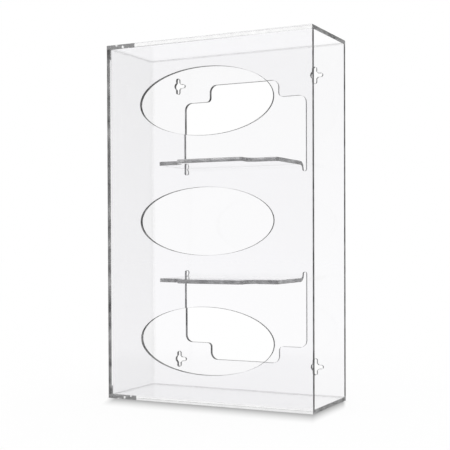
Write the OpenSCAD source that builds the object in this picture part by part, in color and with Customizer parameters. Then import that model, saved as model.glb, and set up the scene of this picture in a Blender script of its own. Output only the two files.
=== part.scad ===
// Side-loading dispenser for three boxes of disposable gloves, made of clear
// acrylic sheet. The right side is open. Each panel is one flat sheet, bonded
// square to its neighbours, apart from the back panel: its two shelves are cut
// from the sheet itself and folded forward along a heated line.
// The front faces -Y, and the origin is on the floor under the middle.

/* [Body] */
// Width over the outside
body_w = 270; // [240:1:300]
// Depth, front to back, over the outside
body_d = 106; // [96:1:116]
// Height over the outside
body_h = 432; // [405:1:460]
// Thickness of the acrylic sheet
sheet_t = 4.76; // [4:0.01:6]

/* [Front ovals] */
// Width of each oval hand opening
oval_w = 175; // [150:1:200]
// Height of each oval hand opening
oval_h = 80; // [65:1:95]
// How far the end ovals sit in from the middle of their compartments
oval_inset = 2; // [0:0.5:6]

/* [Folded shelves] */
// Width of a shelf over its wide rear part
shelf_w = 159.2; // [140:0.2:180]
// Width of the tongue at the front of a shelf
tongue_w = 86.4; // [70:0.2:100]
// How far the wide part reaches forward from the back panel
shoulder_reach = 74.5; // [66:0.5:78]
// Gap between the tongue and the front panel
tongue_clearance = 1; // [0.5:0.1:4]
// Inside radius of the folded line
bend_r = 5; // [3:0.5:8]
// Rounding of the outer corners of a shelf
shelf_corner_r = 4.2; // [2:0.1:6]
// Width of the routed cut around a shelf
cut_w = 4.8; // [3.2:0.1:6.4]
// Waste removed beyond the front edges of a shelf
end_waste = 9.2; // [6.4:0.1:14]
// Rounding of the panel's own corner where the opening steps in
step_corner_r = 5; // [3:0.5:7]

/* [Keyholes] */
// Distance between the keyholes across the panel
keyhole_span_x = 190; // [180:1:200]
// Distance between the keyholes up the panel
keyhole_span_z = 354; // [340:1:360]
// Diameter of the round middle, which passes a screw head
keyhole_head_d = 9.6; // [8:0.1:12]
// Width of the three slots, which hold the screw's shank
keyhole_slot_w = 4.8; // [4:0.1:6]
// Reach of each slot from the keyhole's centre
keyhole_reach = 10.2; // [8.5:0.1:12]

/* [Hidden] */

$fn = 96;
// Points around each oval
oval_points = 180;
clear_acrylic = [0.90, 0.95, 0.97, 0.45];

left_x = -body_w / 2;
front_y = -body_d / 2;
back_y = body_d / 2;
mid_z = body_h / 2;

// Panels that stand between the top and the bottom
upright_h = body_h - 2 * sheet_t;
// The front and back panels butt against the inner face of the left panel
panel_x = left_x + sheet_t;
panel_w = body_w - sheet_t;
panel_mid_x = panel_x + panel_w / 2;
inner_depth = body_d - 2 * sheet_t;

// Three equal compartments, with a shelf between each two
compartment_h = (upright_h - 2 * sheet_t) / 3;
compartment_pitch = compartment_h + sheet_t;
oval_pitch = compartment_pitch - oval_inset;

// A shelf, measured along the sheet from the line where its fold starts
fold_start = compartment_h / 2 - bend_r;
fold_length = PI / 2 * (bend_r + sheet_t / 2);
tongue_reach = inner_depth - tongue_clearance;
window_shoulder = fold_length + shoulder_reach - bend_r + end_waste;
window_end = fold_length + tongue_reach - bend_r + end_waste;

// Block on the X axis that starts at y = 0, with its two far corners rounded
module rounded_end(w, l, r) {
    translate([-w / 2, 0])
        square([w, l - r]);
    translate([r - w / 2, 0])
        square([w - 2 * r, l]);
    for (side = [-1, 1])
        translate([side * (w / 2 - r), l - r])
            circle(r);
}

// Corner that is filled in with a hollow radius, between +X and +Y
module hollow_corner(r) {
    difference() {
        square(r);
        translate([r, r])
            circle(r);
    }
}

// Outline shared by a shelf and its opening: a wide part, then a narrower one
module stepped_outline(wide, wide_l, narrow, narrow_l, outer_r, hollow_r) {
    rounded_end(wide, wide_l, outer_r);
    rounded_end(narrow, narrow_l, outer_r);
    for (side = [0, 1])
        mirror([side, 0])
            translate([narrow / 2, wide_l])
                hollow_corner(hollow_r);
}

// Opening that a shelf leaves, with a relief slot past each end of its fold
module window_outline() {
    stepped_outline(shelf_w + 2 * cut_w, window_shoulder, tongue_w + 2 * cut_w, window_end,
        shelf_corner_r + cut_w, step_corner_r);
    for (side = [-1, 1])
        translate([side * (shelf_w + cut_w) / 2, 0])
            circle(d = cut_w);
}

module shelf_outline() {
    translate([0, bend_r])
        stepped_outline(shelf_w, shoulder_reach - bend_r, tongue_w, tongue_reach - bend_r,
            shelf_corner_r, step_corner_r + cut_w);
}

// Round hole with a slot up, a slot down and a slot to the right
module keyhole_outline() {
    circle(d = keyhole_head_d);
    slot_end = keyhole_reach - keyhole_slot_w / 2;
    for (turn = [-90, 0, 90])
        rotate(turn) {
            translate([0, -keyhole_slot_w / 2])
                square([slot_end, keyhole_slot_w]);
            translate([slot_end, 0])
                circle(d = keyhole_slot_w);
        }
}

module oval_outline() {
    polygon([for (i = [0 : oval_points - 1])
        let (a = 360 * i / oval_points)
        [oval_w / 2 * cos(a), oval_h / 2 * sin(a)]]);
}

// Stands an outline up as a sheet whose outer face is at y
module upright_sheet(y) {
    translate([0, y + sheet_t, 0])
        rotate([90, 0, 0])
            linear_extrude(sheet_t)
                children();
}

// Quarter ring that joins a shelf to the sheet, below the shelf
module folded_line() {
    rotate([90, 0, 90])
        linear_extrude(shelf_w, center = true)
            intersection() {
                difference() {
                    circle(bend_r + sheet_t);
                    circle(bend_r);
                }
                square(bend_r + sheet_t);
            }
}

// Upper shelf with its fold, about the middle of the back panel
module folded_shelf() {
    inner_y = back_y - sheet_t;
    translate([panel_mid_x, inner_y - bend_r, fold_start])
        folded_line();
    translate([panel_mid_x, inner_y, compartment_h / 2])
        linear_extrude(sheet_t)
            mirror([0, 1])
                shelf_outline();
}

module front_panel() {
    color(clear_acrylic)
        upright_sheet(front_y)
            difference() {
                translate([panel_x, sheet_t])
                    square([panel_w, upright_h]);
                for (row = [-1, 0, 1])
                    translate([0, mid_z + row * oval_pitch])
                        oval_outline();
            }
}

module back_panel() {
    color(clear_acrylic) {
        upright_sheet(back_y - sheet_t)
            difference() {
                translate([panel_x, sheet_t])
                    square([panel_w, upright_h]);
                for (half = [0, 1])
                    translate([panel_mid_x, mid_z])
                        mirror([0, half])
                            translate([0, fold_start])
                                window_outline();
                for (x = [-1, 1], z = [-1, 1])
                    translate([panel_mid_x + x * keyhole_span_x / 2, mid_z + z * keyhole_span_z / 2])
                        keyhole_outline();
            }
        for (half = [0, 1])
            translate([0, 0, mid_z])
                mirror([0, 0, half])
                    folded_shelf();
    }
}

module left_panel() {
    color(clear_acrylic)
        translate([left_x, front_y, sheet_t])
            cube([sheet_t, body_d, upright_h]);
}

module end_panel(z) {
    color(clear_acrylic)
        translate([left_x, front_y, z])
            cube([body_w, body_d, sheet_t]);
}

module top_panel() {
    end_panel(body_h - sheet_t);
}

module bottom_panel() {
    end_panel(0);
}

front_panel();
back_panel();
left_panel();
top_panel();
bottom_panel();
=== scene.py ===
import math

import bmesh
import bpy
from mathutils import Matrix, Vector
from mathutils.bvhtree import BVHTree


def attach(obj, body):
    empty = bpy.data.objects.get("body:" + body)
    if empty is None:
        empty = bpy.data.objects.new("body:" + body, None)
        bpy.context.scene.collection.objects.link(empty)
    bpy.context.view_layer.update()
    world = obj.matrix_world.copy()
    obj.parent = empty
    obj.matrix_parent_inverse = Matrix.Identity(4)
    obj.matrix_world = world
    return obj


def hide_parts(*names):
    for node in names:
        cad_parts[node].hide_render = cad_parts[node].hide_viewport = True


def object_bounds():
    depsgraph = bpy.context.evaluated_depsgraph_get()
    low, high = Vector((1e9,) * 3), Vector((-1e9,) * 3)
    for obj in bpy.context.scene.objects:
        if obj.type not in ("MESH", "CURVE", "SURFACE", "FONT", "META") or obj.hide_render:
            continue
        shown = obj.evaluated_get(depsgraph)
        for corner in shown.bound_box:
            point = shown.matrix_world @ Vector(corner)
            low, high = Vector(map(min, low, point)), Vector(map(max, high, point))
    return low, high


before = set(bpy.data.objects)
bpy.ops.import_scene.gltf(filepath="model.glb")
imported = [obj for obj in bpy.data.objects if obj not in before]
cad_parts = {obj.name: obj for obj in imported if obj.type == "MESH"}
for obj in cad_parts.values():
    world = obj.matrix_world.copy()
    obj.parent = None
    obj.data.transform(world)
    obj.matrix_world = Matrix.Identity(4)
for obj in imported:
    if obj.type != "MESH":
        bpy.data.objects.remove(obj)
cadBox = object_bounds()
print("frame loaded:", sorted(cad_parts))

scene = bpy.context.scene
scene.view_settings.view_transform = "Standard"


class Value:
    # A node's output that arithmetic works on: each operation adds a Math node
    def __init__(self, shader, socket):
        self.shader = shader
        self.socket = socket

    def combine(self, operation, first, second):
        return self.shader.node("Math", {"operation": operation}, inputs=[first, second])["Value"]

    def __add__(self, other):
        return self.combine("ADD", self, other)

    def __radd__(self, other):
        return self.combine("ADD", other, self)

    def __sub__(self, other):
        return self.combine("SUBTRACT", self, other)

    def __rsub__(self, other):
        return self.combine("SUBTRACT", other, self)

    def __mul__(self, other):
        return self.combine("MULTIPLY", self, other)

    def __rmul__(self, other):
        return self.combine("MULTIPLY", other, self)

    def __pow__(self, other):
        return self.combine("POWER", self, other)

    def __rpow__(self, other):
        return self.combine("POWER", other, self)

    def __or__(self, other):  # the larger of the two
        return self.combine("MAXIMUM", self, other)

    def __ror__(self, other):
        return self.combine("MAXIMUM", other, self)

    def __gt__(self, other):
        return self.combine("GREATER_THAN", self, other)

    def __lt__(self, other):
        return self.combine("LESS_THAN", self, other)

    def ramp(self, start, end, first=0.0, last=1.0):
        # Straight from first at start to last at end, and level beyond them
        return self.shader.node("MapRange", inputs=[self, start, end, first, last])["Result"]


class Shader:
    # The node tree of a material or a world, emptied, and the one way that nodes get into it
    def __init__(self, owner):
        owner.use_nodes = True
        self.tree = owner.node_tree
        self.tree.nodes.clear()

    def plug(self, slot, value):
        if isinstance(value, Value):
            self.tree.links.new(value.socket, slot)
        elif value is not None:
            slot.default_value = value

    def node(self, kind, settings=None, ramp=(), inputs=(), **values):
        node = self.tree.nodes.new("ShaderNode" + kind)
        for name, setting in (settings or {}).items():
            setattr(node, name, setting)
        for place, (stop, colour) in enumerate(ramp):
            stops = node.color_ramp.elements
            point = stops[place] if place < 2 else stops.new(stop)  # a new ramp has two stops
            point.position = stop
            point.color = colour
        slots = [slot for slot in node.inputs if slot.enabled]
        for slot, value in zip(slots, inputs):
            self.plug(slot, value)
        named = {slot.name.replace(" ", ""): slot for slot in slots}
        for name, value in values.items():
            self.plug(named[name], value)
        return {out.name.replace(" ", ""): Value(self, out) for out in node.outputs if out.enabled}

    def mixColours(self, factor, first, second):
        return self.node("Mix", {"data_type": "RGBA"}, inputs=[factor, first, second])["Result"]

    def mixSurfaces(self, factor, first, second):
        return self.node("MixShader", inputs=[factor, first, second])["Shader"]


def newMaterial(name):
    material = bpy.data.materials.new(name)
    return material, Shader(material)


def grey(level):
    return (level, level, level, 1.0)


# Camera: a short telephoto in front of the case, towards its open right side and a little below
# mid height
cameraView = {
    "place": (0.5411, -1.0739, 0.1957),
    "yaw": 26.79,
    "pitch": -0.9,
    "roll": -0.21,
    "lens": 79.16,
    "sensorWidth": 36.0,
    "shiftX": 0.0011,
    "shiftY": 0.0644,
    "clipEnd": 100.0,
}


def setCamera():
    data = bpy.data.cameras.new("camera")
    data.sensor_width = cameraView["sensorWidth"]
    data.lens = cameraView["lens"]
    data.shift_x = cameraView["shiftX"]
    data.shift_y = cameraView["shiftY"]
    data.clip_end = cameraView["clipEnd"]
    camera = bpy.data.objects.new("camera", data)
    turn = Matrix.Rotation(math.radians(cameraView["yaw"]), 4, "Z")
    tilt = Matrix.Rotation(math.radians(90 + cameraView["pitch"]), 4, "X")
    roll = Matrix.Rotation(math.radians(cameraView["roll"]), 4, "Z")
    camera.matrix_world = Matrix.Translation(cameraView["place"]) @ turn @ tilt @ roll
    scene.collection.objects.link(camera)
    scene.camera = camera
    print("camera set")


# What a reflection sees of the studio: red, green and blue at each compass direction, in degrees
# from +Y towards +X. The walls are a white backdrop behind the left of the object, dark flags to
# both sides and a grey room in front, and the floor begins a little below the horizon
studio = {
    "walls": [
        (-180, 0.42, 0.41, 0.45),
        (-160, 0.5, 0.49, 0.53),
        (-147, 0.7, 0.69, 0.73),
        (-135, 0.68, 0.68, 0.68),
        (-120, 0.12, 0.12, 0.12),
        (-85, 0.1, 0.1, 0.1),
        (-60, 0.5, 0.5, 0.5),
        (-45, 0.95, 0.95, 0.95),
        (-5, 0.97, 0.97, 0.97),
        (12, 0.75, 0.75, 0.75),
        (27, 0.33, 0.33, 0.33),
        (40, 0.15, 0.15, 0.15),
        (80, 0.15, 0.15, 0.15),
        (120, 0.3, 0.3, 0.3),
        (180, 0.42, 0.41, 0.45),
    ],
    "floor": [
        (-180, 0.3, 0.29, 0.32),
        (-147, 0.3, 0.29, 0.32),
        (-135, 0.3, 0.3, 0.3),
        (-120, 0.12, 0.12, 0.12),
        (-85, 0.1, 0.1, 0.1),
        (-60, 0.5, 0.5, 0.5),
        (-45, 1.0, 1.0, 1.0),
        (-5, 1.0, 1.0, 1.0),
        (12, 0.7, 0.7, 0.7),
        (27, 0.28, 0.28, 0.28),
        (180, 0.3, 0.3, 0.3),
    ],
    "wallsEnd": -0.11,
    "floorStart": -0.125,
    "fadeReach": 0.2,  # as high and as low as the light goes on changing
    "fadeInFront": 0.5,
    "fadeBehind": 0.06,
    "white": 1.0,
}


def buildWorld():
    world = bpy.data.worlds.new("studio")
    scene.world = world
    shader = Shader(world)
    direction = shader.node("SeparateXYZ", Vector=shader.node("TexCoord")["Generated"])
    east, north, height = direction["X"], direction["Y"], direction["Z"]
    azimuth = east.combine("ARCTAN2", east, north)
    turn = azimuth * (0.5 / math.pi) + 0.5
    around = []
    for levels in (studio["walls"], studio["floor"]):
        stops = [((degrees + 180) / 360, (*colour, 1.0)) for degrees, *colour in levels]
        around.append(shader.node("ValToRGB", ramp=stops, Fac=turn)["Color"])
    level = shader.mixColours(height.ramp(studio["wallsEnd"], studio["floorStart"]), *around)
    # the lower a reflection looks the lighter it is, most of all in front
    reach = studio["fadeReach"]
    lean = height.ramp(-reach, reach, 1.0, -1.0)
    inFront = (north * -1) | 0.0
    behind = north | 0.0
    scale = 1 + lean * (inFront * studio["fadeInFront"] + behind * studio["fadeBehind"])
    scaled = shader.node("VectorMath", {"operation": "SCALE"}, inputs=[level], Scale=scale)["Vector"]
    reflected = shader.node("Background", Color=scaled)["Background"]
    white = shader.node("Background", Color=grey(studio["white"]))["Background"]
    mirrored = shader.node("LightPath")["GlossyDepth"] > 0
    shader.node("OutputWorld", Surface=shader.mixSurfaces(mirrored, white, reflected))
    print("studio built")


# The floor: evenly lit white paper. The light is behind the object, so a soft shade runs forward
# from its foot, turned a little towards +X, and there is a faint one close around it
stage = {
    "halfSize": 6.0,
    "level": -0.0004,
    "paper": 0.08,
    "shadeTurn": 21.0,
    "shadeReach": 0.056,
    "shadeDepth": 0.55,
    "shadePower": 1.5,
    "shadeSoft": 0.01,
    "contactReach": 0.005,
    "contactDepth": 0.3,
    "contactSamples": 16,
}


def castShade(shader, place):
    # Follow the light back from a spot on the floor to the line of the front or of the right side,
    # and see whether it comes to the side itself
    turn = math.radians(stage["shadeTurn"])
    forward, sideways = math.cos(turn), math.sin(turn)
    (left, front, _), (right, back, _) = cadBox
    run = ((front - place["Y"]) * (1 / forward)) | ((place["X"] - right) * (1 / sideways))
    footX = place["X"] - run * sideways
    footY = place["Y"] + run * forward
    leftEnd = footX.ramp(left, left + stage["shadeSoft"])
    rightEnd = footY.ramp(back, back - stage["shadeSoft"])
    near = run.ramp(stage["shadeReach"], 0.0)
    outside = run > -stage["contactReach"]
    return stage["shadeDepth"] * near ** stage["shadePower"] * leftEnd * rightEnd * outside


def floorPaper():
    material, shader = newMaterial("floorPaper")
    # where it is seen, straight or through a sheet, the paper glows up to white
    path = shader.node("LightPath")
    straight = path["IsCameraRay"] | path["IsGlossyRay"] | path["IsTransmissionRay"]
    diffuse = shader.node("BsdfDiffuse", Color=grey(stage["paper"]))["BSDF"]
    glow = shader.node("Emission", Strength=(1 - stage["paper"]) * straight)["Emission"]
    paper = shader.node("AddShader", inputs=[diffuse, glow])["Shader"]
    cast = castShade(shader, shader.node("SeparateXYZ", Vector=shader.node("TexCoord")["Object"]))
    nearby = shader.node("AmbientOcclusion", {"samples": stage["contactSamples"]},
        Distance=stage["contactReach"])["AO"]
    shade = (cast | stage["contactDepth"] * (1 - nearby)) * path["IsCameraRay"]
    dark = shader.node("Emission", Strength=0.0)["Emission"]
    shaded = shader.mixSurfaces(shade, paper, dark)
    # a reflection looks past the paper, into the studio
    clear = shader.node("BsdfTransparent")["BSDF"]
    surface = shader.mixSurfaces(path["GlossyDepth"] > 0, shaded, clear)
    shader.node("OutputMaterial", Surface=surface)
    return material


def buildStage():
    half, level = stage["halfSize"], stage["level"]
    corners = [(x, y, level) for x, y in ((-half, -half), (half, -half), (half, half), (-half, half))]
    mesh = bpy.data.meshes.new("floor")
    mesh.from_pydata(corners, [], [(0, 1, 2, 3)])
    mesh.materials.append(floorPaper())
    floor = bpy.data.objects.new("floor", mesh)
    scene.collection.objects.link(floor)
    print("floor laid")


# Clear cast acrylic: the polished faces of every sheet
acrylic = {
    "ior": 1.49,
    "tint": (0.995, 0.994, 1.0, 1.0),
    "hazeScale": 9.0,
    "haze": 0.012,
}


def clearFace():
    material, shader = newMaterial("clearFace")
    place = shader.node("TexCoord")["Object"]
    cloud = shader.node("TexNoise", Vector=place, Scale=acrylic["hazeScale"])["Fac"]
    surface = shader.node("BsdfPrincipled", BaseColor=acrylic["tint"], Roughness=acrylic["haze"] * cloud,
        IOR=acrylic["ior"], TransmissionWeight=1.0)["BSDF"]
    shader.node("OutputMaterial", Surface=surface)
    return material


# Cut edges: what the tool leaves is partly a dull skin and partly clear sheet behind it. Their greys
# are partly painted shade: dark greys stand in for the dark lines that light bent and trapped in the
# sheet gives a cut edge, most of all on the rims, ovals, ends and the left panel's front edge. Each
# look goes between its two greys in patches, and its skin is the dull share, which shows the painted
# shade too
edgeLooks = {
    "sawnEdge": {"greys": (0.9, 0.995), "skin": 0.0, "roughness": 0.03, "spread": 0.02, "patch": 90.0},
    "endEdge": {"greys": (0.2, 0.6), "skin": 0.5, "roughness": 0.25, "spread": 0.1, "patch": 60.0},
    "routedEdge": {"greys": (0.56, 0.98), "skin": 0.5, "roughness": 0.14, "spread": 0.05, "patch": 90.0},
    "rimEdge": {"greys": (0.05, 0.38), "skin": 0.5, "roughness": 0.3, "spread": 0.1, "patch": 90.0},
    "frontEdge": {"greys": (0.12, 0.58), "skin": 0.5, "roughness": 0.2, "spread": 0.1, "patch": 60.0},
    # the oval rims: painted shade all round, from very dark greys and a large share of skin
    "ovalRim": {"greys": (0.04, 0.36), "skin": 0.85, "roughness": 0.2, "spread": 0.1, "patch": 90.0},
    "arris": {"greys": (0.25, 0.5), "skin": 0.6, "roughness": 0.1, "spread": 0.05, "patch": 40.0},
}
# What all cut edges share: the patches' contrast, and the fine marks of the tool in the skin
toolMarks = {
    "patchDetail": 3.0,
    "patchDark": 0.35,
    "patchLight": 0.65,
    "skinRoughness": 0.4,
    "markScale": 900.0,
    "markDetail": 1.0,
    "markDepth": 0.0002,
    "markStrength": 0.1,
}


def cutEdge(name, look):
    material, shader = newMaterial(name)
    place = shader.node("TexCoord")["Object"]
    patches = shader.node("TexNoise", Vector=place, Scale=look["patch"],
        Detail=toolMarks["patchDetail"])["Fac"]
    contrast = patches.ramp(toolMarks["patchDark"], toolMarks["patchLight"])
    # the greys are partly painted shade, for the dark that light trapped in the sheet gives an edge
    colour = shader.mixColours(contrast, *(grey(level) for level in look["greys"]))
    roughness = look["roughness"] + look["spread"] * (patches - 0.5)
    surface = shader.node("BsdfPrincipled", BaseColor=colour, Roughness=roughness,
        IOR=acrylic["ior"], TransmissionWeight=1.0)["BSDF"]
    # the dull skin is the tool's own, and it carries the painted shade of the greys as well
    if look["skin"]:
        marks = shader.node("TexNoise", Vector=place, Scale=toolMarks["markScale"],
            Detail=toolMarks["markDetail"])["Fac"]
        normal = shader.node("Bump", Strength=toolMarks["markStrength"],
            Distance=toolMarks["markDepth"], Height=marks)["Normal"]
        skin = shader.node("BsdfPrincipled", BaseColor=colour, Roughness=toolMarks["skinRoughness"],
            IOR=acrylic["ior"], Normal=normal)["BSDF"]
        surface = shader.mixSurfaces(look["skin"], surface, skin)
    shader.node("OutputMaterial", Surface=surface)
    return material


# Where two sheets are solvent-bonded there is no surface left to see
def bondedJoint():
    material, shader = newMaterial("bondedJoint")
    shader.node("OutputMaterial", Surface=shader.node("BsdfTransparent")["BSDF"])
    return material


# The five sheets of the case, in metres and degrees. An arris is the width of a broken edge
sheetWork = {
    "thickness": 0.00476,
    "thicknessWithin": 0.03,  # as a share of the thickness
    "shelfFrom": 1.5,  # thicknesses in front of the back panel's rear face
    "jointArris": 0.00006,
    "holeArris": {"routedEdge": 0.0003, "rimEdge": 0.0001, "ovalRim": 0.0001},
    "freeArris": 0.00025,
    "mergeWithin": 0.000002,
    "cutWithin": 0.0000001,
    "touching": 0.00001,
    "flatWithin": 0.2,
    "sharpAngle": 30.0,
    "squareAngle": 80.0,
    "squareCosine": 0.9999,
}
finishes = ["clearFace", *edgeLooks, "bondedJoint"]


def plainSheet(name):
    # The panel as one closed shell of flat faces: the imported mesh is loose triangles
    bm = bmesh.new()
    bm.from_mesh(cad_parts[name].data)
    bmesh.ops.remove_doubles(bm, verts=bm.verts, dist=sheetWork["mergeWithin"])
    bmesh.ops.dissolve_limit(bm, angle_limit=math.radians(sheetWork["flatWithin"]), verts=bm.verts,
        edges=bm.edges)
    return bm


def lowAndHigh(verts):
    return [Vector([pick(v.co[axis] for v in verts) for axis in range(3)]) for pick in (min, max)]


def isSquare(face, axis):
    return abs(face.normal[axis]) > sheetWork["squareCosine"]


def liesAt(face, axis, level):
    return all(abs(v.co[axis] - level) < sheetWork["touching"] for v in face.verts)


def squareFaces(bm):
    # Every four-cornered face that lies square to an axis: its axis, side and corners
    found = []
    for face in bm.faces:
        for axis in range(3):
            if len(face.verts) == 4 and isSquare(face, axis):
                found.append((axis, face.normal[axis] > 0, *lowAndHigh(face.verts)))
    return found


def bondedRectangles(name, sheets):
    # Where a neighbour's square face meets one of this panel's: the shared part of the two
    touching = sheetWork["touching"]
    found = []
    others = [face for other in sheets if other != name for face in squareFaces(sheets[other])]
    for axis, side, low, high in squareFaces(sheets[name]):
        for otherAxis, otherSide, otherLow, otherHigh in others:
            if otherAxis != axis or otherSide == side or abs(otherLow[axis] - low[axis]) > touching:
                continue
            sharedLow = Vector([max(a, b) for a, b in zip(low, otherLow)])
            sharedHigh = Vector([min(a, b) for a, b in zip(high, otherHigh)])
            if sum(size > touching for size in sharedHigh - sharedLow) == 2:
                found.append((axis, sharedLow, sharedHigh))
    return found


def cutAcross(bm, faces, axis, level):
    # Cut these faces alone, along the plane at a level on an axis
    edges = dict.fromkeys(edge for face in faces for edge in face.edges)
    corners = dict.fromkeys(corner for face in faces for corner in face.verts)
    normal = Vector([float(a == axis) for a in range(3)])
    bmesh.ops.bisect_plane(bm, geom=[*faces, *edges, *corners], dist=sheetWork["cutWithin"],
        plane_co=normal * level, plane_no=normal)


def markBonds(bm, rectangles):
    # Cut each bonded rectangle out of the faces it lies in and give it the joint's finish
    inset = sheetWork["jointArris"]
    for axis, low, high in rectangles:
        others = [a for a in range(3) if a != axis]
        for other in others:
            for level in (low[other] + inset, high[other] - inset):
                faces = [face for face in bm.faces if liesAt(face, axis, low[axis])]
                cutAcross(bm, faces, other, level)
        for face in bm.faces:
            centre = face.calc_center_median()
            inside = all(low[a] + inset < centre[a] < high[a] - inset for a in others)
            if inside and liesAt(face, axis, low[axis]):
                face.material_index = finishes.index("bondedJoint")


def isJoined(edge, rectangles):
    touching = sheetWork["touching"]
    return any(all(low[a] - touching < v.co[a] < high[a] + touching for v in edge.verts for a in range(3))
        for axis, low, high in rectangles)


def breakEdges(bm, edges, width, finish):
    bmesh.ops.bevel(bm, geom=edges, offset=width, offset_type="OFFSET", segments=1, affect="EDGES",
        clamp_overlap=True, loop_slide=True, material=finishes.index(finish))


def cutFinish(name, face, low, high, through):
    # Edges of the sheet's own outline were sawn, any other was routed
    outline = [axis for axis in range(3) if axis != through]
    if any(liesAt(face, axis, corner[axis]) for corner in (low, high) for axis in outline):
        # the left panel's front edge gets a darker look: painted shade for the light lost inside that
        # sheet
        if name == "left_panel" and face.normal.y < 0 and isSquare(face, 1):
            return "frontEdge"
        if face.normal.x > 0 and isSquare(face, 0):
            return "endEdge" if through == 2 else "rimEdge"
        return "sawnEdge"
    if name == "front_panel":
        return "ovalRim"
    shelfStart = high.y - sheetWork["shelfFrom"] * sheetWork["thickness"]
    onShelf = name == "back_panel" and face.calc_center_median().y < shelfStart
    return "routedEdge" if onShelf else "rimEdge"


def markCuts(name, bm):
    low, high = lowAndHigh(bm.verts)
    areas = [sum(face.calc_area() for face in bm.faces if isSquare(face, axis)) for axis in range(3)]
    through = areas.index(max(areas))  # the axis that goes through the sheet
    for face in bm.faces:
        face.material_index = finishes.index(cutFinish(name, face, low, high, through))


def markFaces(bm):
    # A face with the sheet's own thickness behind it is one of its two polished faces
    tree = BVHTree.FromBMesh(bm)
    largest = {}
    for loops in bm.calc_loop_triangles():
        a, b, c = (loop.vert.co for loop in loops)
        area = (b - a).cross(c - a).length
        if area > largest.get(loops[0].face, (0, None))[0]:
            largest[loops[0].face] = (area, (a + b + c) / 3)
    for face, (area, spot) in largest.items():
        start = spot - face.normal * sheetWork["touching"]
        distance = tree.ray_cast(start, -face.normal)[3]
        if distance is None:
            continue
        if abs(distance / sheetWork["thickness"] - 1) < sheetWork["thicknessWithin"]:
            face.material_index = finishes.index("clearFace")


def dressPanel(name, sheets, materials):
    bm = sheets[name].copy()
    markCuts(name, bm)
    markFaces(bm)
    rectangles = bondedRectangles(name, sheets)
    sharp = [e for e in bm.edges if e.calc_face_angle() > math.radians(sheetWork["sharpAngle"])]
    joined = [e for e in sharp if isJoined(e, rectangles)]
    breakEdges(bm, joined, sheetWork["jointArris"], "sawnEdge")
    square = math.radians(sheetWork["squareAngle"])
    for finish, width in sheetWork["holeArris"].items():
        place = finishes.index(finish)
        around = [e for e in bm.edges if e.calc_face_angle() > square
            and any(f.material_index == place for f in e.link_faces)]
        breakEdges(bm, around, width, finish)
    free = [e for e in bm.edges if e.calc_face_angle() > square]
    breakEdges(bm, free, sheetWork["freeArris"], "arris")
    markBonds(bm, rectangles)
    mesh = bpy.data.meshes.new(name + "Sheet")
    bm.to_mesh(mesh)
    bm.free()
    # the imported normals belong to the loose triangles
    for attribute in [a for a in mesh.attributes if "normal" in a.name]:
        mesh.attributes.remove(attribute)
    for material in materials:
        mesh.materials.append(material)
    mesh.shade_smooth()
    mesh.set_sharp_from_angle(angle=math.radians(sheetWork["sharpAngle"]))
    panel = bpy.data.objects.new(name + "Sheet", mesh)
    scene.collection.objects.link(panel)
    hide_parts(name)
    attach(panel, "root")
    print("panel dressed:", name, len(mesh.polygons), "faces,", len(rectangles), "bonds")


# How far light is followed inside the sheets
lightPaths = {
    "max_bounces": 24,
    "glossy_bounces": 12,
    "transmission_bounces": 16,
    "transparent_max_bounces": 16,
}

setCamera()
buildWorld()
buildStage()
cutEdges = [cutEdge(name, look) for name, look in edgeLooks.items()]
sheetMaterials = [clearFace(), *cutEdges, bondedJoint()]
print("materials made:", len(sheetMaterials))
plainSheets = {name: plainSheet(name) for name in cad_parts}
for name in plainSheets:
    dressPanel(name, plainSheets, sheetMaterials)
for setting, count in lightPaths.items():
    setattr(scene.cycles, setting, count)
